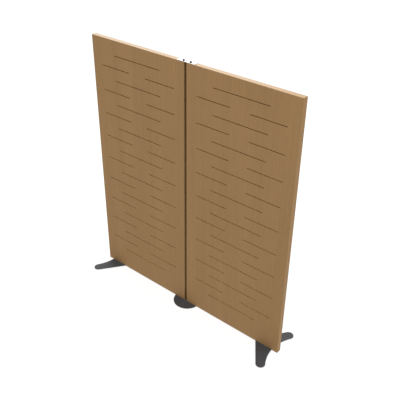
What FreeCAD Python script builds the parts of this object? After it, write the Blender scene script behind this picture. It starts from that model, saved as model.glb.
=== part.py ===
import FreeCAD, Part
import enum
import math
import os
import re
import Sketcher
from FreeCAD import Rotation, Vector

# Two-leaf wooden acoustic partition, in millimetres.
# The leaves stand in one line along X, +Y is the back and +Z is up.
# The origin is on the floor, under the middle of the joint between the leaves.
# Each leaf is a slotted sandwich on a hidden frame. It swings about its own vertical pivot screws,
# which a link plate on top and a round foot below keep a fixed distance apart. Each leaf's outer end
# stands on a flat V-shaped foot that is let into the leaf's lower edge.

SIZES = (
    ("panel_height", 1800, "leaf height"),
    ("panel_width", 792, "leaf width"),
    ("panel_thickness", 36, "leaf thickness"),
    ("joint_gap", 16, "gap between the leaves"),
    ("lipping_thickness", 2, "edge lipping thickness"),
    ("lipping_round", 1, "radius on the lipping's outer corners"),
    ("sheet_thickness", 4, "slotted face sheet thickness"),
    ("stile_width", 60, "upright frame board width"),
    ("rail_width", 60, "level frame board width"),
    ("core_clearance", 0.5, "room round an absorber board in its frame opening"),
    ("slot_width", 5, "slot width"),
    ("slot_pitch", 84.85, "height between slot rows"),
    ("slot_top_margin", 101.5, "leaf top to the first slot row"),
    ("slot_bottom_margin", 150, "least height of a slot row above the leaf's bottom"),
    ("slot_side_margin", 80, "leaf edge to a short slot"),
    ("long_slot_length", 396, "long slot, end to end"),
    ("short_slot_length", 247, "short slot, end to end"),
    ("dowel_diameter", 8, "frame dowel diameter"),
    ("dowel_length", 40, "frame dowel length"),
    ("dowel_spacing", 32, "height between a joint's two dowels"),
    ("hole_end_room", 1, "free depth past the end of a dowel or screw"),
    ("fit_clearance", 0.1, "radial room of a dowel, insert or screw in its hole"),
    ("running_clearance", 0.08, "radial room of a pivot screw in the plate and disc"),
    ("head_clearance", 0.15, "room between a pivot screw's head and its seat"),
    ("pivot_inset", 19, "leaf's inner edge to its pivot"),
    ("pivot_screw_diameter", 8, "pivot screw shank diameter"),
    ("cap_head_diameter", 14, "top pivot screw head diameter"),
    ("cap_head_height", 4.4, "top pivot screw head height"),
    ("cap_head_round", 1.6, "radius on the top pivot screw head's rim"),
    ("sunk_head_diameter", 15, "bottom pivot screw head diameter"),
    ("socket_radius", 2.9, "pivot screw's hexagon socket, centre to corner"),
    ("socket_depth", 2.6, "pivot screw's hexagon socket depth"),
    ("insert_diameter", 12, "threaded insert diameter"),
    ("insert_length", 20, "threaded insert length"),
    ("washer_diameter", 22, "pivot washer diameter"),
    ("washer_thickness", 0.5, "pivot washer thickness"),
    ("plate_length", 136, "link plate length"),
    ("plate_thickness", 1.5, "link plate thickness"),
    ("plate_corner", 4, "link plate corner radius"),
    ("plate_edge_round", 0.4, "radius on the link plate's upper edge"),
    ("disc_diameter", 200, "centre foot diameter"),
    ("foot_thickness", 4, "thickness of the centre foot and the end feet"),
    ("foot_edge_round", 1.2, "radius on a foot's upper edge"),
    ("foot_reach", 200, "leaf's middle plane to an end foot's tip"),
    ("foot_length", 180, "leaf's outer end to an end foot's apex"),
    ("foot_waist", 44, "leaf's outer end to the bottom of an end foot's hollow side"),
    ("foot_overhang", 3, "how far an end foot's tips stand out past the leaf's outer end"),
    ("foot_tip_radius", 32, "end foot tip radius"),
    ("foot_apex_radius", 40, "end foot apex radius"),
    ("foot_room", 0.3, "room round an end foot in its housing in the leaf"),
    ("foot_screw_diameter", 5, "foot screw shank diameter"),
    ("foot_screw_head", 10, "foot screw head diameter"),
    ("foot_screw_length", 40, "foot screw length"),
    ("foot_screw_pitch", 18, "distance between foot screws"),
    ("foot_screw_margin", 4.5, "frame dowel's hole to the first foot screw"),
    ("foot_screw_point", 6, "length of a foot screw's point"),
    ("foot_socket_radius", 1.75, "foot screw's hexagon socket, centre to corner"),
    ("foot_socket_depth", 1.6, "foot screw's hexagon socket depth"),
    ("glide_diameter", 30, "glide diameter"),
    ("glide_thickness", 2, "thickness of the centre foot's glides"),
    ("glide_margin", 10, "foot's edge to a glide"),
)
FOOT_SCREWS = 3
HOUSED_BOARDS = ("outer_stile", "bottom_rail")
HEXAGON = 6
COUNTERSINK_ANGLE = 90

# Sizes that follow from the driving ones.
DERIVED = {
    "leaf_inner": "joint_gap / 2",
    "leaf_outer": "leaf_inner + panel_width",
    "disc_top": "glide_thickness + foot_thickness",
    "leaf_bottom": "disc_top + washer_thickness",
    "leaf_top": "leaf_bottom + panel_height",
    "plate_bottom": "leaf_top + washer_thickness",
    "plate_top": "plate_bottom + plate_thickness",
    "foot_top": "leaf_bottom + foot_thickness",
    "pivot_x": "leaf_inner + pivot_inset",
    "frame_inner": "leaf_inner + lipping_thickness",
    "frame_outer": "leaf_outer - lipping_thickness",
    "frame_bottom": "leaf_bottom + lipping_thickness",
    "frame_top": "leaf_top - lipping_thickness",
    "frame_width": "panel_width - 2 * lipping_thickness",
    "frame_height": "panel_height - 2 * lipping_thickness",
    "frame_thickness": "panel_thickness - 2 * sheet_thickness",
    "rail_start": "frame_inner + stile_width",
    "rail_end": "frame_outer - stile_width",
    "rail_length": "rail_end - rail_start",
    "slot_rows": "floor((panel_height - slot_top_margin - slot_bottom_margin) / slot_pitch) + 1",
    "long_rows": "floor((slot_rows + 1) / 2)",
    "short_rows": "floor(slot_rows / 2)",
    "first_row_height": "frame_height + lipping_thickness - slot_top_margin",
    "short_slot_start": "slot_side_margin - lipping_thickness",
    "middle_rail_centre": "leaf_top - slot_top_margin - (short_rows + 0.5) * slot_pitch",
    "middle_rail_bottom": "middle_rail_centre - rail_width / 2",
    "top_rail_bottom": "frame_top - rail_width",
    "screw_radius": "pivot_screw_diameter / 2",
    "foot_screw_start": "lipping_thickness + stile_width + dowel_length / 2 + hole_end_room"
                        " + foot_screw_margin + foot_screw_diameter / 2",
    "tip_x": "foot_tip_radius - foot_overhang",
    "tip_y": "foot_reach - foot_tip_radius",
    "apex_x": "foot_length - foot_apex_radius",
    # The hollow side is one arc through the waist that meets both tip arcs smoothly.
    "hollow_radius": "((tip_x - foot_waist)^2 + tip_y^2 - foot_tip_radius^2)"
                     " / (2 * (foot_tip_radius + foot_waist - tip_x))",
}


class At(enum.IntEnum):
    """How a sketch numbers its X axis and the points of a line or arc."""
    X_AXIS = -1
    START = 1
    END = 2
    CENTRE = 3


ORIGIN = (At.X_AXIS, At.START)

size = {alias: value for alias, value, _ in SIZES}
document = FreeCAD.newDocument("acoustic_partition")
sheet = document.addObject("Spreadsheet::Sheet", "Sizes")
for row, (alias, value, meaning) in enumerate(SIZES, start=1):
    sheet.set(f"A{row}", meaning)
    sheet.set(f"B{row}", str(value))
    sheet.setAlias(f"B{row}", alias)
document.recompute()

pieces = []


def bound(text):
    """An expression in which each size's name stands for its cell or its formula."""
    def spell(match):
        word = match.group(0)
        if word in DERIVED:
            return "(" + bound(DERIVED[word]) + ")"
        return "Sizes." + word if word in size else word
    return re.sub(r"[a-z_]+", spell, text)


def bind(item, **texts):
    for name, text in texts.items():
        item.setExpression(name, bound(text))
    return item


def place(item, side, x, y, z, turn=Rotation()):
    """Put an item on the right leaf (side 1), or half a turn round on the left leaf (side -1)."""
    sign = "" if side > 0 else "-"
    half_turn = Rotation(Vector(0, 0, 1), 0 if side > 0 else 180)
    item.Placement = FreeCAD.Placement(Vector(), half_turn.multiply(turn))
    item.setExpression("Placement.Base.x", bound(f"{sign}({x})"))
    item.setExpression("Placement.Base.y", bound(f"{sign}({y})"))
    item.setExpression("Placement.Base.z", bound(z))
    return item


def piece(item, label):
    """Name a finished piece and list it."""
    item.Label = label
    pieces.append(item)
    return item


def board(name, side, x, y, z, length, width, height):
    item = document.addObject("Part::Box", name)
    bind(item, Length=length, Width=width, Height=height)
    return place(item, side, x, y, z)


def cylinder(name, side, x, y, z, radius, height, turn=Rotation()):
    item = document.addObject("Part::Cylinder", name)
    bind(item, Radius=radius, Height=height)
    return place(item, side, x, y, z, turn)


def group(name, members):
    item = document.addObject("Part::Compound", name)
    item.Links = members
    return item


def cut(name, base, tool):
    item = document.addObject("Part::Cut", name)
    item.Base = base
    item.Tool = tool
    return item


def sketch_on(body, role, name):
    sketch = body.newObject("Sketcher::SketchObject", name)
    plane = next(item for item in body.Origin.OriginFeatures if item.Role == role)
    sketch.AttachmentSupport = [(plane, "")]
    sketch.MapMode = "FlatFace"
    return sketch


def set_size(sketch, kind, geometry, point, text):
    """Bind a point's distance from the sketch's origin, or an arc's radius, to a size."""
    if kind == "Radius":
        now = sketch.Geometry[geometry].Radius
        rule = Sketcher.Constraint(kind, geometry, now)
    else:
        spot = sketch.getPoint(geometry, point)
        now = spot.x if kind == "DistanceX" else spot.y
        rule = Sketcher.Constraint(kind, *ORIGIN, geometry, point, now)
    index = sketch.addConstraint(rule)
    name = f"size{index}"
    sketch.renameConstraint(index, name)
    sketch.setExpression("Constraints." + name, bound(text))


def set_point(sketch, geometry, point, x, y):
    set_size(sketch, "DistanceX", geometry, point, x)
    set_size(sketch, "DistanceY", geometry, point, y)


def arc(x, y, radius, start, end):
    circle = Part.Circle(Vector(x, y, 0), Vector(0, 0, 1), radius)
    return Part.ArcOfCircle(circle, start, end)


def polygon(sketch, corners):
    """A closed outline of straight lines, each corner given as a starting place and two sizes."""
    first = sketch.GeometryCount
    spots = [Vector(*start, 0) for start, _ in corners]
    for here, there in zip(spots, spots[1:] + spots[:1]):
        sketch.addGeometry(Part.LineSegment(here, there), False)
    for number, (_, sizes) in enumerate(corners):
        before = first + (number - 1) % len(corners)
        sketch.addConstraint(Sketcher.Constraint("Coincident", before, At.END, first + number, At.START))
        set_point(sketch, first + number, At.START, *sizes)


def circle(sketch, start, x, y, radius):
    number = sketch.addGeometry(Part.Circle(Vector(*start, 0), Vector(0, 0, 1), 1), False)
    set_point(sketch, number, At.CENTRE, x, y)
    set_size(sketch, "Radius", number, None, radius)


def smooth_loop(sketch, members):
    """A closed outline whose lines and arcs each run smoothly into the next, end to start."""
    first = sketch.GeometryCount
    sketch.addGeometry([geometry for geometry, _, _ in members], False)
    for number, (_, leaves_at, _) in enumerate(members):
        following = (number + 1) % len(members)
        enters_at = members[following][2]
        sketch.addConstraint(
            Sketcher.Constraint("Tangent", first + number, leaves_at, first + following, enters_at))
    return first


def pad(body, sketch, length):
    item = body.newObject("PartDesign::Pad", body.Name + "_pad")
    item.Profile = sketch
    bind(item, Length=length)
    document.recompute()
    return item


def pocket_through(body, sketch, name, reverse):
    """Cut a sketch right through the body, and make sure that it cuts something."""
    before = body.Shape.Volume
    item = body.newObject("PartDesign::Pocket", name)
    item.Profile = sketch
    item.Type = "ThroughAll"
    item.Reversed = reverse
    document.recompute()
    if not item.Shape.Volume < before:
        raise RuntimeError(f"{name} cuts nothing")
    return item


def socket(body, height, radius, depth, reverse):
    """A hexagon socket, cut into a screw's head from the given height."""
    before = body.Shape.Volume
    sketch = sketch_on(body, "XY_Plane", body.Name + "_socket_sketch")
    sketch.setExpression("AttachmentOffset.Base.z", bound(height))
    corners = []
    for number in range(HEXAGON):
        angle = 360 * number / HEXAGON
        start = (math.cos(math.radians(angle)), math.sin(math.radians(angle)))
        corners.append((start, (f"{radius} * cos({angle})", f"{radius} * sin({angle})")))
    polygon(sketch, corners)
    item = body.newObject("PartDesign::Pocket", body.Name + "_socket")
    item.Profile = sketch
    item.Reversed = reverse
    bind(item, Length=depth)
    document.recompute()
    if not item.Shape.Volume < before:
        raise RuntimeError(f"{item.Name} cuts nothing")
    return item


def turned(name, profile):
    """A body turned about its own Z axis from an outline of (radius, height) corners."""
    body = document.addObject("PartDesign::Body", name)
    sketch = sketch_on(body, "XZ_Plane", name + "_profile")
    polygon(sketch, profile)
    item = body.newObject("PartDesign::Revolution", name + "_turned")
    item.Profile = sketch
    item.ReferenceAxis = (sketch, ["V_Axis"])
    item.Angle = 360
    document.recompute()
    return body, item


def round_upper_edge(body, feature, height, radius):
    """Round every edge of a padded plate's upper face."""
    names = []
    for number, edge in enumerate(feature.Shape.Edges, start=1):
        if all(abs(vertex.Z - height) < Part.Precision.confusion() for vertex in edge.Vertexes):
            names.append(f"Edge{number}")
    item = body.newObject("PartDesign::Fillet", body.Name + "_edge")
    item.Base = (feature, names)
    bind(item, Radius=radius)
    document.recompute()
    return item


def drill(body, spots, name, radius, sink_diameter=None):
    """Holes right up through a plate from its underside, countersunk there if a diameter is given."""
    before = body.Shape.Volume
    sketch = sketch_on(body, "XY_Plane", name + "_spots")
    for start, x, y in spots:
        circle(sketch, start, x, y, radius)
    document.recompute()
    item = body.newObject("PartDesign::Hole", name)
    item.Profile = sketch
    document.recompute()
    item.ThreadType = "None"
    item.DepthType = "ThroughAll"
    item.Reversed = True
    bind(item, Diameter=f"2 * ({radius})")
    if sink_diameter:
        item.HoleCutType = "Countersink"
        item.HoleCutCustomValues = True
        item.HoleCutCountersinkAngle = COUNTERSINK_ANGLE
        bind(item, HoleCutDiameter=sink_diameter)
    document.recompute()
    if not item.Shape.Volume < before:
        raise RuntimeError(f"{name} cuts nothing")
    return item


def slot_outline(sketch, drawn_x, drawn_length, x, length):
    """One slot with round ends in the first row, drawn roughly and then held to sizes."""
    z = size["panel_height"] - size["slot_top_margin"]
    half = size["slot_width"] / 2
    left = drawn_x + half
    right = drawn_x + drawn_length - half
    lower = Part.LineSegment(Vector(left, z - half, 0), Vector(right, z - half, 0))
    upper = Part.LineSegment(Vector(right, z + half, 0), Vector(left, z + half, 0))
    right_end = arc(right, z, half, -math.pi / 2, math.pi / 2)
    left_end = arc(left, z, half, math.pi / 2, 3 * math.pi / 2)
    first = smooth_loop(sketch, [(part, At.END, At.START) for part in (lower, right_end, upper, left_end)])
    set_point(sketch, first + 1, At.CENTRE, f"{x} + {length} - slot_width / 2", "first_row_height")
    set_point(sketch, first + 3, At.CENTRE, f"{x} + slot_width / 2", "first_row_height")
    set_size(sketch, "Radius", first + 1, None, "slot_width / 2")
    set_size(sketch, "Radius", first + 3, None, "slot_width / 2")


def slot_rows(body, kind, slots, lower_by, rows):
    """Cut one row of slots through a face sheet and repeat it down every other row."""
    sketch = sketch_on(body, "XZ_Plane", f"{body.Name}_{kind}_slots")
    sketch.setExpression("AttachmentOffset.Base.y", bound(f"-({lower_by})"))
    for slot in slots:
        slot_outline(sketch, *slot)
    document.recompute()
    first_row = pocket_through(body, sketch, f"{body.Name}_{kind}_row", True)
    pattern = body.newObject("PartDesign::LinearPattern", f"{body.Name}_{kind}_rows")
    pattern.Originals = [first_row]
    pattern.Direction = (sketch, ["V_Axis"])
    pattern.Reversed = True
    pattern.Mode = "Spacing"
    bind(pattern, Offset="2 * slot_pitch", Occurrences=rows)
    body.Tip = pattern
    document.recompute()


def face_sheet(label, side, y, housing):
    """A slotted face sheet, whose back or front lies at y, cut out for the end foot."""
    body = document.addObject("PartDesign::Body", label + "_blank")
    sketch = sketch_on(body, "XZ_Plane", label + "_outline")
    wide, high = size["panel_width"], size["panel_height"]
    polygon(sketch, (
        ((0, 0), ("0", "0")),
        ((wide, 0), ("frame_width", "0")),
        ((wide, high), ("frame_width", "frame_height")),
        ((0, high), ("0", "frame_height")),
    ))
    pad(body, sketch, "sheet_thickness")
    long_length, short_length = size["long_slot_length"], size["short_slot_length"]
    long_start = (wide - long_length) / 2
    short_start = size["slot_side_margin"]
    far_start = wide - short_start - short_length
    slot_rows(body, "long", (
        (long_start, long_length, "(frame_width - long_slot_length) / 2", "long_slot_length"),
    ), "0", "long_rows")
    slot_rows(body, "short", (
        (short_start, short_length, "short_slot_start", "short_slot_length"),
        (far_start, short_length, "frame_width - short_slot_start - short_slot_length", "short_slot_length"),
    ), "slot_pitch", "short_rows")
    start = "frame_inner" if side > 0 else "-frame_outer"
    body.setExpression("Placement.Base.x", bound(start))
    body.setExpression("Placement.Base.y", bound(y))
    body.setExpression("Placement.Base.z", bound("frame_bottom"))
    piece(cut(label, body, housing), label)


def lipping(name, length):
    """An edge lipping standing on its end: outer side at +X, both outer corners rounded."""
    body = document.addObject("PartDesign::Body", name)
    sketch = sketch_on(body, "XY_Plane", name + "_outline")
    thick, half, curve = size["lipping_thickness"], size["panel_thickness"] / 2, size["lipping_round"]
    corners = (Vector(0, half, 0), Vector(0, -half, 0))
    outer = (Vector(thick, curve - half, 0), Vector(thick, half - curve, 0))
    lower_arc = arc(thick - curve, curve - half, curve, -math.pi / 2, 0)
    upper_arc = arc(thick - curve, half - curve, curve, 0, math.pi / 2)
    sketch.addGeometry([
        Part.LineSegment(*corners),
        Part.LineSegment(corners[1], lower_arc.StartPoint),
        lower_arc,
        Part.LineSegment(*outer),
        upper_arc,
        Part.LineSegment(upper_arc.EndPoint, corners[0]),
    ], False)
    for rule, before, after in (("Coincident", 0, 1), ("Tangent", 1, 2), ("Tangent", 2, 3),
                                ("Tangent", 3, 4), ("Tangent", 4, 5), ("Coincident", 5, 0)):
        sketch.addConstraint(Sketcher.Constraint(rule, before, At.END, after, At.START))
    set_point(sketch, 0, At.START, "0", "panel_thickness / 2")
    set_point(sketch, 0, At.END, "0", "-panel_thickness / 2")
    for number, sign in ((2, "-"), (4, "")):
        set_point(sketch, number, At.CENTRE, "lipping_thickness - lipping_round",
                  f"{sign}(panel_thickness / 2 - lipping_round)")
        set_size(sketch, "Radius", number, None, "lipping_round")
    pad(body, sketch, length)
    return body


def frame_holes(name, side):
    """The dowel holes of a leaf's six frame joints, and the dowels that fill them."""
    along = Rotation(Vector(0, 1, 0), 90)
    holes, dowels = [], []
    for joint_name, joint in (("inner", "rail_start"), ("outer", "rail_end")):
        for rail_name, bottom in (("top", "top_rail_bottom"), ("middle", "middle_rail_bottom"),
                                  ("bottom", "frame_bottom")):
            for step_name, sign in (("low", "-"), ("high", "+")):
                z = f"{bottom} + rail_width / 2 {sign} dowel_spacing / 2"
                spot = f"{name}_{joint_name}_{rail_name}_{step_name}"
                holes.append(cylinder(
                    spot + "_hole", side, f"{joint} - dowel_length / 2 - hole_end_room", "0", z,
                    "dowel_diameter / 2 + fit_clearance", "dowel_length + 2 * hole_end_room", along))
                dowels.append(cylinder(
                    spot + "_dowel", side, f"{joint} - dowel_length / 2", "0", z,
                    "dowel_diameter / 2", "dowel_length", along))
    piece(group(name + "_frame_dowels", dowels), name + "_frame_dowels")
    return holes


def pivot_inserts(name, side):
    """Threaded inserts in both ends of the inner stile, and the holes that they sit in."""
    holes, inserts = [], []
    for end, z in (("top", "frame_top - insert_length"), ("bottom", "frame_bottom")):
        holes.append(cylinder(f"{name}_{end}_insert_hole", side, "pivot_x", "0", z,
                              "insert_diameter / 2 + fit_clearance", "insert_length"))
        outside = cylinder(f"{name}_{end}_insert_outside", side, "pivot_x", "0", z,
                           "insert_diameter / 2", "insert_length")
        bore = cylinder(f"{name}_{end}_insert_bore", side, "pivot_x", "0", z,
                        "screw_radius + fit_clearance", "insert_length")
        inserts.append(cut(f"{name}_{end}_insert", outside, bore))
    piece(group(name + "_pivot_inserts", inserts), name + "_pivot_inserts")
    return holes


def foot_screw_holes(name, side):
    holes = []
    for number in range(FOOT_SCREWS):
        x = f"leaf_outer - foot_screw_start - {number} * foot_screw_pitch"
        depth = "foot_screw_length - foot_thickness + hole_end_room"
        holes.append(cylinder(f"{name}_foot_screw_hole_{number}", side, x, "0", "foot_top",
                              "foot_screw_diameter / 2 + fit_clearance", depth))
    return holes


def leaf_frame(name, side, housing):
    """Stiles, rails, absorber boards, lippings and what is let into them."""
    y = "-frame_thickness / 2"
    boards = {
        "inner_stile": ("frame_inner", "frame_bottom", "stile_width", "frame_height"),
        "outer_stile": ("rail_end", "frame_bottom", "stile_width", "frame_height"),
        "top_rail": ("rail_start", "top_rail_bottom", "rail_length", "rail_width"),
        "middle_rail": ("rail_start", "middle_rail_bottom", "rail_length", "rail_width"),
        "bottom_rail": ("rail_start", "frame_bottom", "rail_length", "rail_width"),
    }
    holes = group(name + "_frame_holes",
                  frame_holes(name, side) + pivot_inserts(name, side) + foot_screw_holes(name, side))
    for board_name, (x, z, length, height) in boards.items():
        label = f"{name}_{board_name}"
        blank = board(label + "_blank", side, x, y, z, length, "frame_thickness", height)
        if board_name in HOUSED_BOARDS:
            blank = cut(label + "_housed", blank, housing)
        piece(cut(label, blank, holes), label)

    openings = {
        "upper_absorber": ("middle_rail_bottom + rail_width", "top_rail_bottom"),
        "lower_absorber": ("frame_bottom + rail_width", "middle_rail_bottom"),
    }
    for core_name, (low, high) in openings.items():
        label = f"{name}_{core_name}"
        piece(board(label, side, "rail_start + core_clearance", y, f"{low} + core_clearance",
                    "rail_length - 2 * core_clearance", "frame_thickness",
                    f"{high} - ({low}) - 2 * core_clearance"), label)

    up = Rotation(Vector(0, 1, 0), -90)
    down = Rotation(Vector(0, 1, 0), 90)
    inward = Rotation(Vector(0, 0, 1), 180)
    outer = place(lipping(name + "_outer_lipping", "panel_height"), side, "frame_outer", "0", "leaf_bottom")
    piece(outer, name + "_outer_lipping")
    inner = place(lipping(name + "_inner_lipping", "panel_height"), side, "frame_inner", "0", "leaf_bottom",
                  inward)
    piece(inner, name + "_inner_lipping")
    pivot_holes = {
        end: cylinder(f"{name}_{end}_lipping_hole", side, "pivot_x", "0", z,
                      "screw_radius + fit_clearance", "lipping_thickness")
        for end, z in (("top", "frame_top"), ("bottom", "leaf_bottom"))
    }
    top_blank = place(lipping(name + "_top_lipping_blank", "frame_width"), side, "frame_outer", "0",
                      "frame_top", up)
    piece(cut(name + "_top_lipping", top_blank, pivot_holes["top"]), name + "_top_lipping")
    bottom_blank = place(lipping(name + "_bottom_lipping_blank", "frame_width"), side, "frame_inner", "0",
                         "frame_bottom", down)
    bottom_holes = group(name + "_bottom_lipping_holes", [pivot_holes["bottom"], housing])
    piece(cut(name + "_bottom_lipping", bottom_blank, bottom_holes), name + "_bottom_lipping")


def top_pivot_screw(label, side):
    """A low cap screw that holds the link plate to the leaf."""
    wide, neck = size["cap_head_diameter"] / 2, size["pivot_screw_diameter"] / 2
    high = size["cap_head_height"]
    reach = "plate_thickness + washer_thickness + lipping_thickness + insert_length - hole_end_room"
    end = size["insert_length"]
    body, head = turned(label, (
        ((0, -end), ("0", f"-({reach})")),
        ((neck, -end), ("screw_radius", f"-({reach})")),
        ((neck, 0), ("screw_radius", "0")),
        ((wide, 0), ("cap_head_diameter / 2", "0")),
        ((wide, high), ("cap_head_diameter / 2", "cap_head_height")),
        ((0, high), ("0", "cap_head_height")),
    ))
    round_upper_edge(body, head, high, "cap_head_round")
    socket(body, "cap_head_height", "socket_radius", "socket_depth", False)
    place(body, side, "pivot_x", "0", "plate_top + head_clearance")
    piece(body, label)


def bottom_pivot_screw(label, side):
    """A countersunk screw up through the centre foot into the leaf."""
    wide, neck, end = size["sunk_head_diameter"] / 2, size["pivot_screw_diameter"] / 2, size["insert_length"]
    reach = ("foot_thickness + washer_thickness + lipping_thickness + insert_length"
             " - hole_end_room - head_clearance")
    body, _ = turned(label, (
        ((0, 0), ("0", "0")),
        ((wide, 0), ("sunk_head_diameter / 2", "0")),
        ((neck, wide - neck), ("screw_radius", "sunk_head_diameter / 2 - screw_radius")),
        ((neck, end), ("screw_radius", reach)),
        ((0, end), ("0", reach)),
    ))
    socket(body, "0", "socket_radius", "socket_depth", True)
    place(body, side, "pivot_x", "0", "glide_thickness + head_clearance")
    piece(body, label)


def foot_plate(label, thickness, room=None):
    """A V-shaped plate with its hollow side outwards, grown all round by the named size if there is one."""
    body = document.addObject("PartDesign::Body", label)
    sketch = sketch_on(body, "XY_Plane", label + "_outline")
    extra = size[room] if room else 0
    more, less = (f" + {room}", f" - {room}") if room else ("", "")
    tip = Vector(size["foot_tip_radius"] - size["foot_overhang"],
                 size["foot_reach"] - size["foot_tip_radius"], 0)
    apex = Vector(size["foot_length"] - size["foot_apex_radius"], 0, 0)
    tip_r, apex_r = size["foot_tip_radius"] + extra, size["foot_apex_radius"] + extra
    waist = size["foot_waist"] - extra
    inward = tip.x - waist
    hollow_r = (inward ** 2 + tip.y ** 2 - tip_r ** 2) / (2 * (tip_r - inward))
    hollow = Vector(waist - hollow_r, 0, 0)
    spread = math.atan2(tip.y, tip.x - hollow.x)
    run = apex - tip
    lean = math.atan2(run.y, run.x) + math.acos((tip_r - apex_r) / run.Length)
    side_way = Vector(math.cos(lean), math.sin(lean), 0)
    tip_touch, apex_touch = tip + side_way * tip_r, apex + side_way * apex_r
    mirrored = [Vector(spot.x, -spot.y, 0) for spot in (tip_touch, apex_touch)]
    first = smooth_loop(sketch, (
        (arc(hollow.x, 0, hollow_r, -spread, spread), At.END, At.START),
        (arc(tip.x, tip.y, tip_r, lean, math.pi + spread), At.START, At.END),
        (Part.LineSegment(tip_touch, apex_touch), At.END, At.START),
        (arc(apex.x, 0, apex_r, -lean, lean), At.START, At.END),
        (Part.LineSegment(mirrored[1], mirrored[0]), At.END, At.START),
        (arc(tip.x, -tip.y, tip_r, math.pi - spread, 2 * math.pi - lean), At.START, At.END),
    ))
    set_size(sketch, "Radius", first, None, "hollow_radius" + less)
    for number, sign in ((1, ""), (5, "-")):
        set_point(sketch, first + number, At.CENTRE, "tip_x", f"{sign}tip_y")
        set_size(sketch, "Radius", first + number, None, "foot_tip_radius" + more)
    set_size(sketch, "DistanceX", first + 3, At.CENTRE, "apex_x")
    sketch.addConstraint(Sketcher.Constraint("PointOnObject", first + 3, At.CENTRE, At.X_AXIS))
    set_size(sketch, "Radius", first + 3, None, "foot_apex_radius" + more)
    return body, pad(body, sketch, thickness)


def foot_housing(name, side):
    """The space that an end foot takes up in the leaf's lower edge, open downwards."""
    body, _ = foot_plate(name + "_foot_housing", "foot_thickness + foot_room", "foot_room")
    return place(body, side, "leaf_outer", "0", "leaf_bottom - foot_room", Rotation(Vector(0, 0, 1), 180))


def end_foot(label, side):
    """A flat foot, level with the leaf's lower edge: its arms point out past the leaf's end."""
    body, plate = foot_plate(label, "foot_thickness")
    round_upper_edge(body, plate, size["foot_thickness"], "foot_edge_round")
    spots = []
    for number in range(FOOT_SCREWS):
        start = (size["foot_length"] / 2 + number * size["foot_screw_pitch"], 0)
        spots.append((start, f"foot_screw_start + {number} * foot_screw_pitch", "0"))
    drill(body, spots, label + "_holes", "foot_screw_diameter / 2 + fit_clearance",
          "foot_screw_head + 2 * fit_clearance")
    place(body, side, "leaf_outer", "0", "leaf_bottom", Rotation(Vector(0, 0, 1), 180))
    piece(body, label)


def foot_screws(label, side):
    """The countersunk screws that hold an end foot under its leaf."""
    wide, neck, end = size["foot_screw_head"] / 2, size["foot_screw_diameter"] / 2, size["foot_screw_length"]
    body, blank = turned(label, (
        ((0, 0), ("0", "0")),
        ((wide, 0), ("foot_screw_head / 2", "0")),
        ((neck, wide - neck), ("foot_screw_diameter / 2", "(foot_screw_head - foot_screw_diameter) / 2")),
        ((neck, end - neck), ("foot_screw_diameter / 2", "foot_screw_length - foot_screw_point")),
        ((0, end), ("0", "foot_screw_length")),
    ))
    recess = socket(body, "0", "foot_socket_radius", "foot_socket_depth", True)
    row = body.newObject("PartDesign::LinearPattern", label + "_row")
    row.Originals = [blank, recess]
    axis = next(item for item in body.Origin.OriginFeatures if item.Role == "X_Axis")
    row.Direction = (axis, [""])
    row.Mode = "Spacing"
    row.Occurrences = FOOT_SCREWS
    bind(row, Offset="foot_screw_pitch")
    body.Tip = row
    document.recompute()
    place(body, side, "leaf_outer - foot_screw_start", "0", "leaf_bottom", Rotation(Vector(0, 0, 1), 180))
    piece(body, label)


def end_foot_glides(label, side):
    spots = {
        "front": ("tip_x", "-tip_y"),
        "rear": ("tip_x", "tip_y"),
        "apex": ("foot_length - glide_margin - glide_diameter / 2", "0"),
    }
    members = [
        cylinder(f"{label}_{name}", side, f"leaf_outer - ({x})", y, "0", "glide_diameter / 2", "leaf_bottom")
        for name, (x, y) in spots.items()
    ]
    piece(group(label, members), label)


def pivot_spots():
    """Both pivots, as places for holes."""
    pivot = size["joint_gap"] / 2 + size["pivot_inset"]
    return [((sign * pivot, 0), f"{sign} * pivot_x", "0") for sign in (-1, 1)]


def centre_foot():
    """The round foot under the joint, with its glides."""
    label = "centre_foot_disc"
    body = document.addObject("PartDesign::Body", label)
    sketch = sketch_on(body, "XY_Plane", label + "_outline")
    circle(sketch, (0, 0), "0", "0", "disc_diameter / 2")
    plate = pad(body, sketch, "foot_thickness")
    round_upper_edge(body, plate, size["foot_thickness"], "foot_edge_round")
    drill(body, pivot_spots(), label + "_holes", "screw_radius + running_clearance",
          "sunk_head_diameter + 4 * head_clearance")
    body.setExpression("Placement.Base.z", bound("glide_thickness"))
    piece(body, label)

    reach = "(disc_diameter / 2 - glide_margin - glide_diameter / 2)"
    spots = {
        "front": ("0", "-" + reach),
        "rear": ("0", reach),
        "left": ("-" + reach, "0"),
        "right": (reach, "0"),
    }
    members = [
        cylinder(f"centre_glide_{name}", 1, x, y, "0", "glide_diameter / 2", "glide_thickness")
        for name, (x, y) in spots.items()
    ]
    piece(group("centre_foot_glides", members), "centre_foot_glides")


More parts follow.
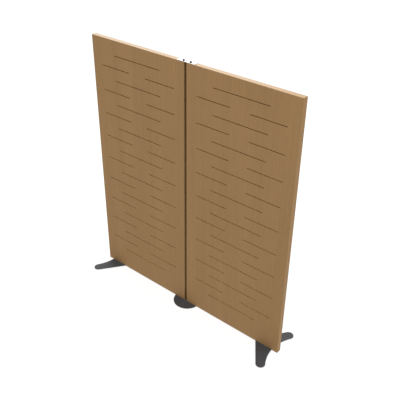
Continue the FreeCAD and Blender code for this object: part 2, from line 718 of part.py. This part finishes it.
def link_plate():
    """The plate across the joint on top of both leaves, as wide as a leaf is thick."""
    label = "top_link_plate"
    body = document.addObject("PartDesign::Body", label)
    sketch = sketch_on(body, "XY_Plane", label + "_outline")
    curve = size["plate_corner"]
    wide, deep = size["plate_length"] / 2, size["panel_thickness"] / 2
    inner_x, inner_y = wide - curve, deep - curve
    quarter = math.pi / 2
    members = []
    for number, (x, y) in enumerate(((1, -1), (1, 1), (-1, 1), (-1, -1))):
        corner = arc(x * inner_x, y * inner_y, curve, (number - 1) * quarter, number * quarter)
        members.append(corner)
    edges = []
    for here, there in zip(members, members[1:] + members[:1]):
        edges.extend((here, Part.LineSegment(here.EndPoint, there.StartPoint)))
    first = smooth_loop(sketch, [(edge, At.END, At.START) for edge in edges])
    for number, (x, y) in enumerate((("", "-"), ("", ""), ("-", ""), ("-", "-"))):
        corner = first + 2 * number
        set_point(sketch, corner, At.CENTRE, f"{x}(plate_length / 2 - plate_corner)",
                  f"{y}(panel_thickness / 2 - plate_corner)")
        set_size(sketch, "Radius", corner, None, "plate_corner")
    plate = pad(body, sketch, "plate_thickness")
    round_upper_edge(body, plate, size["plate_thickness"], "plate_edge_round")
    drill(body, pivot_spots(), label + "_holes", "screw_radius + running_clearance")
    body.setExpression("Placement.Base.z", bound("plate_bottom"))
    piece(body, label)


def pivot_washers(label, z):
    washers = []
    for name, side in (("left", -1), ("right", 1)):
        outside = cylinder(f"{label}_{name}_outside", side, "pivot_x", "0", z,
                           "washer_diameter / 2", "washer_thickness")
        bore = cylinder(f"{label}_{name}_bore", side, "pivot_x", "0", z,
                        "screw_radius + fit_clearance", "washer_thickness")
        washers.append(cut(f"{label}_{name}", outside, bore))
    piece(group(label, washers), label)


def build():
    centre_foot()
    link_plate()
    pivot_washers("bottom_pivot_washers", "disc_top")
    pivot_washers("top_pivot_washers", "leaf_top")
    for name, side in (("left", -1), ("right", 1)):
        housing = foot_housing(name, side)
        face_sheet(name + "_front_sheet", side, "sheet_thickness - panel_thickness / 2", housing)
        face_sheet(name + "_rear_sheet", side, "panel_thickness / 2", housing)
        leaf_frame(name, side, housing)
        top_pivot_screw(name + "_top_pivot_screw", side)
        bottom_pivot_screw(name + "_bottom_pivot_screw", side)
        end_foot(name + "_end_foot", side)
        foot_screws(name + "_foot_screws", side)
        end_foot_glides(name + "_foot_glides", side)
    document.recompute()


def check():
    for item in document.Objects:
        if "Invalid" in item.State or "Error" in item.State:
            raise RuntimeError(f"{item.Label} failed: {item.State}")
    for item in pieces:
        if item.Shape.isNull() or not item.Shape.isValid() or not item.Shape.Solids:
            raise RuntimeError(f"{item.Label} has no valid solid")


def write():
    os.makedirs("parts", exist_ok=True)
    for item in pieces:
        item.Shape.exportStep(f"parts/{item.Label}.step")
        print(f"{item.Label}: {len(item.Shape.Solids)} solids, {item.Shape.Volume / 1000:.2f} cm3")


build()
check()
write()
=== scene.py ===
import math

import bpy
from mathutils import Matrix, Vector


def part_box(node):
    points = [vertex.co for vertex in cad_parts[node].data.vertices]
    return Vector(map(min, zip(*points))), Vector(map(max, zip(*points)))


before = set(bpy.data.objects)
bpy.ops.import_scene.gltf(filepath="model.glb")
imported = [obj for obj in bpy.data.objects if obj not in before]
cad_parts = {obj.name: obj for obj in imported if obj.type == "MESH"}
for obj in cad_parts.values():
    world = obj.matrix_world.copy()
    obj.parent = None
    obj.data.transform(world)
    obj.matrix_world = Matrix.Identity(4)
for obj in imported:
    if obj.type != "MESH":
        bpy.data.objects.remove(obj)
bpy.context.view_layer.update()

# Sizes in metres; the place of a leaf's face is read from the frame.
LEAF_FACE = -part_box("right_front_sheet")[0].y
VENEER = 0.0007
FLOOR_HALF_WIDTH = 30.0

# Colours as linear red, green and blue.
OAK_LIGHT = (0.302, 0.180, 0.083)
OAK_DARK = (0.235, 0.135, 0.055)
OAK_PORE = (0.105, 0.052, 0.018)
# Paler colour on rounded edges: rubbed finish, and also a painted highlight along the rounding.
OAK_RUBBED_AND_HIGHLIT = (0.400, 0.255, 0.125)
EDGE_LIGHT = (0.312, 0.186, 0.083)
EDGE_DARK = (0.234, 0.134, 0.054)
# The top edge is the same oak as the other edges, coloured paler: a painted highlight of the light
# from above.
TOP_HIGHLIT_LIGHT = (0.362, 0.225, 0.099)
TOP_HIGHLIT_DARK = (0.273, 0.162, 0.065)
# The inner edges face each other across the narrow joint and are coloured darker than the other edges:
# painted shade of the gap.
JOINT_PAINTED_SHADE_LIGHT = (0.180, 0.100, 0.034)
JOINT_PAINTED_SHADE_DARK = (0.126, 0.067, 0.020)
FIBREBOARD_LIGHT = (0.590, 0.300, 0.095)
FIBREBOARD_DARK = (0.445, 0.226, 0.069)
PINE_LIGHT = (0.560, 0.390, 0.200)
PINE_DARK = (0.430, 0.260, 0.110)
FELT_LIGHT = (0.024, 0.010, 0.004)
FELT_DARK = (0.007, 0.003, 0.001)
GRAPHITE_LIGHT = (0.072, 0.072, 0.076)
GRAPHITE_DARK = (0.044, 0.044, 0.047)
# Paler colour for scuffs and the feet's upper edges: wear, and on the edges also a painted highlight.
GRAPHITE_RUBBED_AND_HIGHLIT = (0.160, 0.160, 0.165)
STEEL_LIGHT = (0.370, 0.368, 0.363)
STEEL_DARK = (0.318, 0.315, 0.309)
BLACK_LIGHT = (0.026, 0.026, 0.028)
BLACK_DARK = (0.010, 0.010, 0.011)
BRASS_LIGHT = (0.720, 0.500, 0.200)
BRASS_DARK = (0.480, 0.310, 0.110)
NYLON_LIGHT = (0.720, 0.710, 0.680)
NYLON_DARK = (0.560, 0.550, 0.520)
GLIDE_LIGHT = (0.030, 0.030, 0.030)
GLIDE_DARK = (0.012, 0.012, 0.012)
FLOOR_LIGHT = (0.240, 0.240, 0.240)
FLOOR_DARK = (0.230, 0.230, 0.230)

# Light that the floor gives off, and the light from all round; both are white.
WHITE = (1.0, 1.0, 1.0, 1.0)
FLOOR_GLOW = 0.82
SKY_STRENGTH = 1.0

# Soft lights: name, place, target, width, height and radiance.
SOFTBOXES = (
    ("overhead", (0.3, 0.4, 4.6), (0.0, 0.0, 0.0), 3.0, 3.0, 3.1),
    ("back", (-3.8, 3.5, 3.6), (0.0, 0.0, 1.2), 4.4, 2.0, 2.7),
    ("right", (4.2, -0.6, 2.4), (0.0, 0.0, 0.9), 2.0, 2.4, 0.5),
)

# The photograph's camera.
CAMERA_PLACE = (2.26461, -2.60804, 3.02749)
CAMERA_AZIMUTH = math.radians(39.578)
CAMERA_ELEVATION = math.radians(32.082)
CAMERA_ROLL = math.radians(0.731)
SENSOR = 36.0
IMAGE_WIDTH = 400
FOCAL_PIXELS = 618.98

# Shine and roughness of wood and of the board under the veneer.
OAK_SHINE = 0.06
TOP_SHINE = 0.46
PINE_SHINE = 0.3
FACE_ROUGHNESS = 0.55
EDGE_ROUGHNESS = 0.40
PINE_ROUGHNESS = 0.65
FIBREBOARD_ROUGHNESS = 0.9

# Cells of noise per metre, across and along the grain of wood.
GRAIN_SWAY = (2.0, 1.1)
GRAIN_TONE = (11.0, 0.7)
GRAIN_LINES = (150.0, 1.3)
GRAIN_FIBRES = (900.0, 14.0)
GRAIN_PORES = (2300.0, 90.0)

# Cells of noise per metre along X, Y and Z.
FELT_FIBRES = (420.0, 900.0, 900.0)
SCUFF_MARKS = (60.0, 260.0, 120.0)
POLISHING_MARKS = (40.0, 2600.0, 2600.0)
TURNING_MARKS = (500.0, 500.0, 9000.0)

# Depth of surface relief in metres.
WOOD_RELIEF = 0.00008
FELT_RELIEF = 0.0006
COAT_RELIEF = 0.00010
POLISHING_RELIEF = 0.00001
TURNING_RELIEF = 0.00004
PLASTIC_RELIEF = 0.00005
FLOOR_RELIEF = 0.0002

# How strongly a mark covers the colour under it.
PORE_STRENGTH = 0.45
SCUFF_STRENGTH = 0.25
WEAR_AND_HIGHLIGHT_STRENGTH = 0.7

# Noise seldom leaves this range.
NOISE_LOW = 0.3
NOISE_HIGH = 0.7

# Largest part of a surface's direction along one axis, where rounding begins and where it is full.
ROUNDING_BEGINS = 0.98
ROUNDING_FULL = 0.86

# Each edge of a leaf: light colour, dark colour, shine and direction of the grain.
EDGE_LOOKS = {
    "outer": (EDGE_LIGHT, EDGE_DARK, OAK_SHINE, "Z"),
    # The inner edges carry painted shade of the joint.
    "inner": (JOINT_PAINTED_SHADE_LIGHT, JOINT_PAINTED_SHADE_DARK, OAK_SHINE, "Z"),
    # The top edge carries a painted highlight.
    "top": (TOP_HIGHLIT_LIGHT, TOP_HIGHLIT_DARK, TOP_SHINE, "X"),
    "bottom": (EDGE_LIGHT, EDGE_DARK, OAK_SHINE, "X"),
}

# The wooden pieces of a leaf's frame, with the direction of their grain.
FRAME_BOARDS = {
    "inner_stile": "Z",
    "outer_stile": "Z",
    "top_rail": "X",
    "middle_rail": "X",
    "bottom_rail": "X",
    "frame_dowels": "X",
}

# Shifts of the grain along X, Y and Z: from one piece to the next, and from one leaf to the other.
FACE_SHIFTS = ((0.0, 0.0, 5.3), (3.7, 0.0, 2.1))
EDGE_SHIFTS = ((1.9, 0.0, 1.1), (0.0, 2.3, 0.0))
FRAME_SHIFTS = ((0.7, 0.0, 0.9), (0.0, 1.3, 0.0))


class Graph:
    """A material's node tree, with short ways to add nodes and join them."""

    def __init__(self, name):
        self.material = bpy.data.materials.new(name)
        self.material.use_nodes = True
        self.tree = self.material.node_tree
        self.shader = self.tree.nodes["Principled BSDF"]

    def put(self, socket, value):
        """Join a node's output to a socket, or set the socket to a constant."""
        if isinstance(value, bpy.types.NodeSocket):
            self.tree.links.new(value, socket)
        else:
            socket.default_value = value

    def add(self, kind, inputs=(), **settings):
        """A new node with its settings and inputs."""
        node = self.tree.nodes.new("ShaderNode" + kind)
        for name, value in settings.items():
            setattr(node, name, value)
        for name, value in dict(inputs).items():
            self.put(node.inputs[name], value)
        return node

    def place(self, stretch=(1, 1, 1), shift=(0, 0, 0)):
        """Places on the piece itself, stretched and shifted."""
        spots = self.add("TexCoord").outputs["Object"]
        mapping = self.add("Mapping", {"Vector": spots, "Scale": stretch, "Location": shift})
        return mapping.outputs["Vector"]

    def noise(self, cells, detail, roughness=0.55, distortion=0.0, shift=(0, 0, 0)):
        """Noise with so many cells per metre: one number, or one for each axis."""
        stretch = (cells,) * 3 if isinstance(cells, float) else cells
        return self.add("TexNoise", {
            "Vector": self.place(stretch, shift), "Scale": 1.0, "Detail": detail,
            "Roughness": roughness, "Distortion": distortion,
        }).outputs["Fac"]

    def math(self, operation, first, second=0.0, third=0.0):
        node = self.add("Math", operation=operation)
        for socket, value in zip(node.inputs, (first, second, third)):
            self.put(socket, value)
        return node.outputs["Value"]

    def mixture(self, *shares):
        """The sum of some values, each times its share."""
        total = 0.0
        for value, share in shares:
            total = self.math("MULTIPLY_ADD", value, share, total)
        return total

    def around(self, middle, noise, swing):
        """A number that noise swings to both sides of its middle."""
        return self.math("MULTIPLY_ADD", noise, swing, middle - swing / 2)

    def range(self, value, low, high, to_low=0.0, to_high=1.0):
        """Bring a value from one range to another, and hold it there."""
        return self.add("MapRange", {
            "Value": value, "From Min": low, "From Max": high, "To Min": to_low, "To Max": to_high,
        }).outputs["Result"]

    def spread(self, noise, to_low=0.0, to_high=1.0):
        """Noise, spread over a whole range."""
        return self.range(noise, NOISE_LOW, NOISE_HIGH, to_low, to_high)

    def blend(self, share, first, second, mode="MIX"):
        """The first colour, with a share of the second mixed in."""
        node = self.add("Mix", data_type="RGBA", blend_type=mode, clamp_result=True)
        self.put(node.inputs["Factor"], share)
        for name, value in (("A", first), ("B", second)):
            socket = next(item for item in node.inputs if item.name == name and item.type == "RGBA")
            self.put(socket, (*value, 1.0) if isinstance(value, tuple) else value)
        return next(item for item in node.outputs if item.type == "RGBA")

    def shade(self, colour, amount):
        """A colour times an amount."""
        grey = self.add("CombineColor", {"Red": amount, "Green": amount, "Blue": amount})
        return self.blend(1.0, colour, grey.outputs["Color"], "MULTIPLY")

    def bump(self, height, depth, strength=1.0):
        """Surface directions over relief of a given depth."""
        node = self.add("Bump", {"Height": height, "Distance": depth, "Strength": strength})
        return node.outputs["Normal"]

    def rounding(self):
        """One where a piece is rounded over between its flat sides, and nought on those sides."""
        facing = self.add("TexCoord").outputs["Normal"]
        parts = self.add("VectorMath", {"Vector": facing}, operation="ABSOLUTE").outputs["Vector"]
        x, y, z = self.add("SeparateXYZ", {"Vector": parts}).outputs
        largest = self.math("MAXIMUM", self.math("MAXIMUM", x, y), z)
        return self.range(largest, ROUNDING_BEGINS, ROUNDING_FULL)

    def finish(self, colour, roughness, normal, **constants):
        """Give the shader its inputs and return the material."""
        self.put(self.shader.inputs["Base Color"], colour)
        self.put(self.shader.inputs["Roughness"], roughness)
        self.put(self.shader.inputs["Normal"], normal)
        for name, value in constants.items():
            self.shader.inputs[name.replace("_", " ")].default_value = value
        return self.material


def wood(name, light, dark, along, shift, shine, roughness, core=False):
    """Straight-grained wood, paler on rounded edges as rubbed wear and a painted highlight; with a
    core, board below the veneer.
    """
    graph = Graph(name)

    def grain(cells, **settings):
        """Noise that is drawn out along the grain."""
        across, lengthways = cells
        stretch = [across] * 3
        stretch["XYZ".index(along)] = lengthways
        return graph.noise(stretch, shift=shift, **settings)

    sway = grain(GRAIN_SWAY, detail=2.0)
    lines = grain(GRAIN_LINES, detail=5.0, roughness=0.62, distortion=0.35)
    fibres = grain(GRAIN_FIBRES, detail=4.0, roughness=0.6)
    pores = graph.range(grain(GRAIN_PORES, detail=2.0), low=0.60, high=0.72)
    tone = grain(GRAIN_TONE, detail=3.0)

    figure = graph.mixture((lines, 0.30), (fibres, 0.70), (sway, 0.16))
    colour = graph.blend(graph.range(figure, low=0.38, high=0.74), dark, light)
    colour = graph.shade(colour, graph.spread(tone, to_low=0.96, to_high=1.035))
    colour = graph.blend(graph.math("MULTIPLY", pores, PORE_STRENGTH), colour, OAK_PORE)
    # Rounded edges are painted paler: partly rubbed finish, partly a painted highlight along the
    # rounding.
    worn_and_highlit = graph.range(graph.noise(35.0, detail=5.0, roughness=0.7), low=0.35, high=0.65)
    colour = graph.blend(graph.math("MULTIPLY", graph.rounding(), worn_and_highlit), colour, OAK_RUBBED_AND_HIGHLIT)

    relief = graph.mixture((fibres, 0.5), (pores, -1.0))
    normal = graph.bump(relief, WOOD_RELIEF, strength=0.6)
    gloss = graph.around(roughness, fibres, swing=0.16)

    if core:
        crumbs = graph.noise(700.0, detail=5.0, roughness=0.7)
        board = graph.blend(crumbs, FIBREBOARD_DARK, FIBREBOARD_LIGHT)
        place = graph.add("SeparateXYZ", {"Vector": graph.place()})
        depth = graph.math("ABSOLUTE", place.outputs["Y"])
        below = graph.math("LESS_THAN", depth, LEAF_FACE - VENEER)
        colour = graph.blend(below, colour, board)
        gloss = graph.math("MAXIMUM", gloss, graph.math("MULTIPLY", below, FIBREBOARD_ROUGHNESS))
    return graph.finish(colour, gloss, normal, Specular_IOR_Level=shine)


def felt(name):
    """Pressed fibre board: short matted fibres, dull."""
    graph = Graph(name)
    mat = graph.noise(FELT_FIBRES, detail=6.0, roughness=0.72, distortion=1.2)
    clumps = graph.noise(60.0, detail=3.0)
    share = graph.math("MULTIPLY", mat, graph.spread(clumps, to_low=0.6, to_high=1.3))
    colour = graph.blend(share, FELT_DARK, FELT_LIGHT)
    gloss = graph.spread(mat, to_low=0.88, to_high=1.0)
    return graph.finish(colour, gloss, graph.bump(mat, FELT_RELIEF), Specular_IOR_Level=0.1)


def powder_coat(name, light, dark, rubbed_and_highlit, roughness, shine):
    """Fine-textured powder coat for level plates: faintly scuffed, and paler along the upper edge as
    wear and a painted highlight.
    """
    graph = Graph(name)
    pimples = graph.noise(1500.0, detail=2.0)
    cloud = graph.noise(14.0, detail=5.0, roughness=0.6)
    colour = graph.blend(graph.spread(graph.mixture((cloud, 0.6), (pimples, 0.4))), dark, light)

    # The rounded upper edge faces neither level nor straight up.
    facing = graph.add("NewGeometry").outputs["Normal"]
    upward = graph.add("SeparateXYZ", {"Vector": facing}).outputs["Z"]
    not_level = graph.range(upward, low=0.15, high=0.55)
    not_upward = graph.range(upward, low=0.99, high=0.85)
    edge = graph.math("MULTIPLY", not_level, not_upward)
    worn_and_highlit = graph.range(graph.noise(45.0, detail=5.0, roughness=0.7), low=0.35, high=0.62)

    scratches = graph.noise(SCUFF_MARKS, detail=6.0, roughness=0.65, distortion=1.5)
    scuffs = graph.math("MULTIPLY", graph.range(scratches, low=0.60, high=0.74), SCUFF_STRENGTH)
    # The upper edge and the scuffs are painted paler: wear, and on the upper edge also a painted
    # highlight where light from above falls on the rounding.
    wear_and_highlight = graph.math("MAXIMUM", graph.math("MULTIPLY", edge, worn_and_highlit), scuffs)
    colour = graph.blend(graph.math("MULTIPLY", wear_and_highlight, WEAR_AND_HIGHLIGHT_STRENGTH), colour, rubbed_and_highlit)

    gloss = graph.around(roughness, cloud, swing=0.2)
    normal = graph.bump(pimples, COAT_RELIEF, strength=0.7)
    return graph.finish(colour, gloss, normal, Specular_IOR_Level=shine)


def metal(name, light, dark, roughness, marks, relief):
    """Bare metal with faint stains and the fine marks of turning or polishing."""
    graph = Graph(name)
    lines = graph.noise(marks, detail=3.0)
    stain = graph.noise(160.0, detail=5.0, roughness=0.6)
    colour = graph.blend(graph.spread(stain), dark, light)
    gloss = graph.around(roughness, stain, swing=0.4 * roughness)
    return graph.finish(colour, gloss, graph.bump(lines, relief, strength=0.5), Metallic=1.0)


def blackening(name):
    """Chemically blackened steel: dull black, a little paler in patches, with turning marks."""
    graph = Graph(name)
    stain = graph.noise(220.0, detail=5.0, roughness=0.65)
    turning = graph.noise(TURNING_MARKS, detail=3.0)
    colour = graph.blend(graph.spread(stain), BLACK_DARK, BLACK_LIGHT)
    gloss = graph.spread(stain, to_low=0.52, to_high=0.68)
    normal = graph.bump(turning, TURNING_RELIEF, strength=0.5)
    return graph.finish(colour, gloss, normal, Specular_IOR_Level=0.12)


def plastic(name, light, dark, roughness):
    """Moulded plastic with a fine spark-eroded grain."""
    graph = Graph(name)
    grain = graph.noise(2600.0, detail=2.0)
    cloud = graph.noise(40.0, detail=4.0)
    colour = graph.blend(graph.spread(cloud), dark, light)
    gloss = graph.around(roughness, cloud, swing=0.2)
    normal = graph.bump(grain, PLASTIC_RELIEF, strength=0.5)
    return graph.finish(colour, gloss, normal, Specular_IOR_Level=0.4)


def dress(node, material):
    """Give a CAD node's object one material."""
    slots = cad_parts[node].data.materials
    slots.clear()
    slots.append(material)


def own_grain(shifts, order, leaf):
    """The shift that gives a piece its own stretch of grain."""
    by_piece, by_leaf = shifts
    return [order * step + leaf * leap for step, leap in zip(by_piece, by_leaf)]


def dress_wood(side, leaf):
    """The wooden pieces of one leaf; each gets its own stretch of grain."""
    for order, face in enumerate(("front", "rear")):
        shift = own_grain(FACE_SHIFTS, order, leaf)
        dress(f"{side}_{face}_sheet", wood(
            f"{side}_{face}_veneer", OAK_LIGHT, OAK_DARK, "Z", shift,
            OAK_SHINE, FACE_ROUGHNESS, core=True))
    for order, (edge, (light, dark, shine, along)) in enumerate(EDGE_LOOKS.items()):
        shift = own_grain(EDGE_SHIFTS, order, leaf)
        dress(f"{side}_{edge}_lipping", wood(
            f"{side}_{edge}_edge", light, dark, along, shift, shine, EDGE_ROUGHNESS))
    for order, (board, along) in enumerate(FRAME_BOARDS.items()):
        shift = own_grain(FRAME_SHIFTS, order, leaf)
        dress(f"{side}_{board}", wood(
            f"{side}_{board}_pine", PINE_LIGHT, PINE_DARK, along, shift, PINE_SHINE, PINE_ROUGHNESS))


def dress_part():
    """Every piece of the partition."""
    absorber = felt("absorber_fibre")
    graphite = powder_coat("graphite_coat", GRAPHITE_LIGHT, GRAPHITE_DARK, GRAPHITE_RUBBED_AND_HIGHLIT,
                           roughness=0.55, shine=0.27)
    polished = metal("polished_steel", STEEL_LIGHT, STEEL_DARK, roughness=0.10,
                     marks=POLISHING_MARKS, relief=POLISHING_RELIEF)
    blackened = blackening("blackened_steel")
    brass = metal("brass", BRASS_LIGHT, BRASS_DARK, roughness=0.35,
                  marks=TURNING_MARKS, relief=TURNING_RELIEF)
    nylon = plastic("nylon", NYLON_LIGHT, NYLON_DARK, roughness=0.5)
    glide = plastic("glide_plastic", GLIDE_LIGHT, GLIDE_DARK, roughness=0.6)

    leaf_finishes = {
        "upper_absorber": absorber,
        "lower_absorber": absorber,
        "pivot_inserts": brass,
        "top_pivot_screw": blackened,
        "bottom_pivot_screw": blackened,
        "foot_screws": blackened,
        "end_foot": graphite,
        "foot_glides": glide,
    }
    for leaf, side in enumerate(("left", "right")):
        dress_wood(side, leaf)
        for piece, material in leaf_finishes.items():
            dress(f"{side}_{piece}", material)

    dress("centre_foot_disc", graphite)
    dress("centre_foot_glides", glide)
    dress("top_link_plate", polished)
    dress("top_pivot_washers", nylon)
    dress("bottom_pivot_washers", nylon)


def floor():
    """A plain pale studio floor."""
    mesh = bpy.data.meshes.new("studio_floor")
    half = FLOOR_HALF_WIDTH
    corners = [(-half, -half, 0.0), (half, -half, 0.0), (half, half, 0.0), (-half, half, 0.0)]
    mesh.from_pydata(corners, [], [(0, 1, 2, 3)])
    item = bpy.data.objects.new("studio_floor", mesh)
    bpy.context.scene.collection.objects.link(item)
    graph = Graph("studio_floor")
    cloud = graph.noise(0.8, detail=3.0)
    colour = graph.blend(cloud, FLOOR_DARK, FLOOR_LIGHT)
    mesh.materials.append(graph.finish(
        colour, 0.9, graph.bump(cloud, FLOOR_RELIEF), Specular_IOR_Level=0.0,
        Emission_Color=WHITE, Emission_Strength=FLOOR_GLOW))


def softbox(name, position, target, width, height, radiance):
    """A rectangular soft light that faces a target."""
    light = bpy.data.lights.new(name, "AREA")
    light.shape = "RECTANGLE"
    light.size = width
    light.size_y = height
    light.energy = radiance * math.pi * width * height
    item = bpy.data.objects.new(name, light)
    item.location = position
    item.rotation_euler = (Vector(target) - Vector(position)).to_track_quat("-Z", "Y").to_euler()
    bpy.context.scene.collection.objects.link(item)


def sky():
    """Even white light from all round."""
    world = bpy.data.worlds.new("studio_sky")
    world.use_nodes = True
    background = world.node_tree.nodes["Background"]
    background.inputs["Color"].default_value = WHITE
    background.inputs["Strength"].default_value = SKY_STRENGTH
    bpy.context.scene.world = world


def camera():
    """The photograph's point of view."""
    data = bpy.data.cameras.new("photo_camera")
    data.sensor_width = SENSOR
    data.lens = FOCAL_PIXELS * SENSOR / IMAGE_WIDTH
    item = bpy.data.objects.new("photo_camera", data)
    turn = (Matrix.Rotation(CAMERA_AZIMUTH, 4, "Z")
            @ Matrix.Rotation(math.pi / 2 - CAMERA_ELEVATION, 4, "X")
            @ Matrix.Rotation(CAMERA_ROLL, 4, "Z"))
    item.matrix_world = Matrix.Translation(CAMERA_PLACE) @ turn
    bpy.context.scene.collection.objects.link(item)
    bpy.context.scene.camera = item


dress_part()
floor()
sky()
for settings in SOFTBOXES:
    softbox(*settings)
camera()
bpy.context.scene.view_settings.view_transform = "Standard"
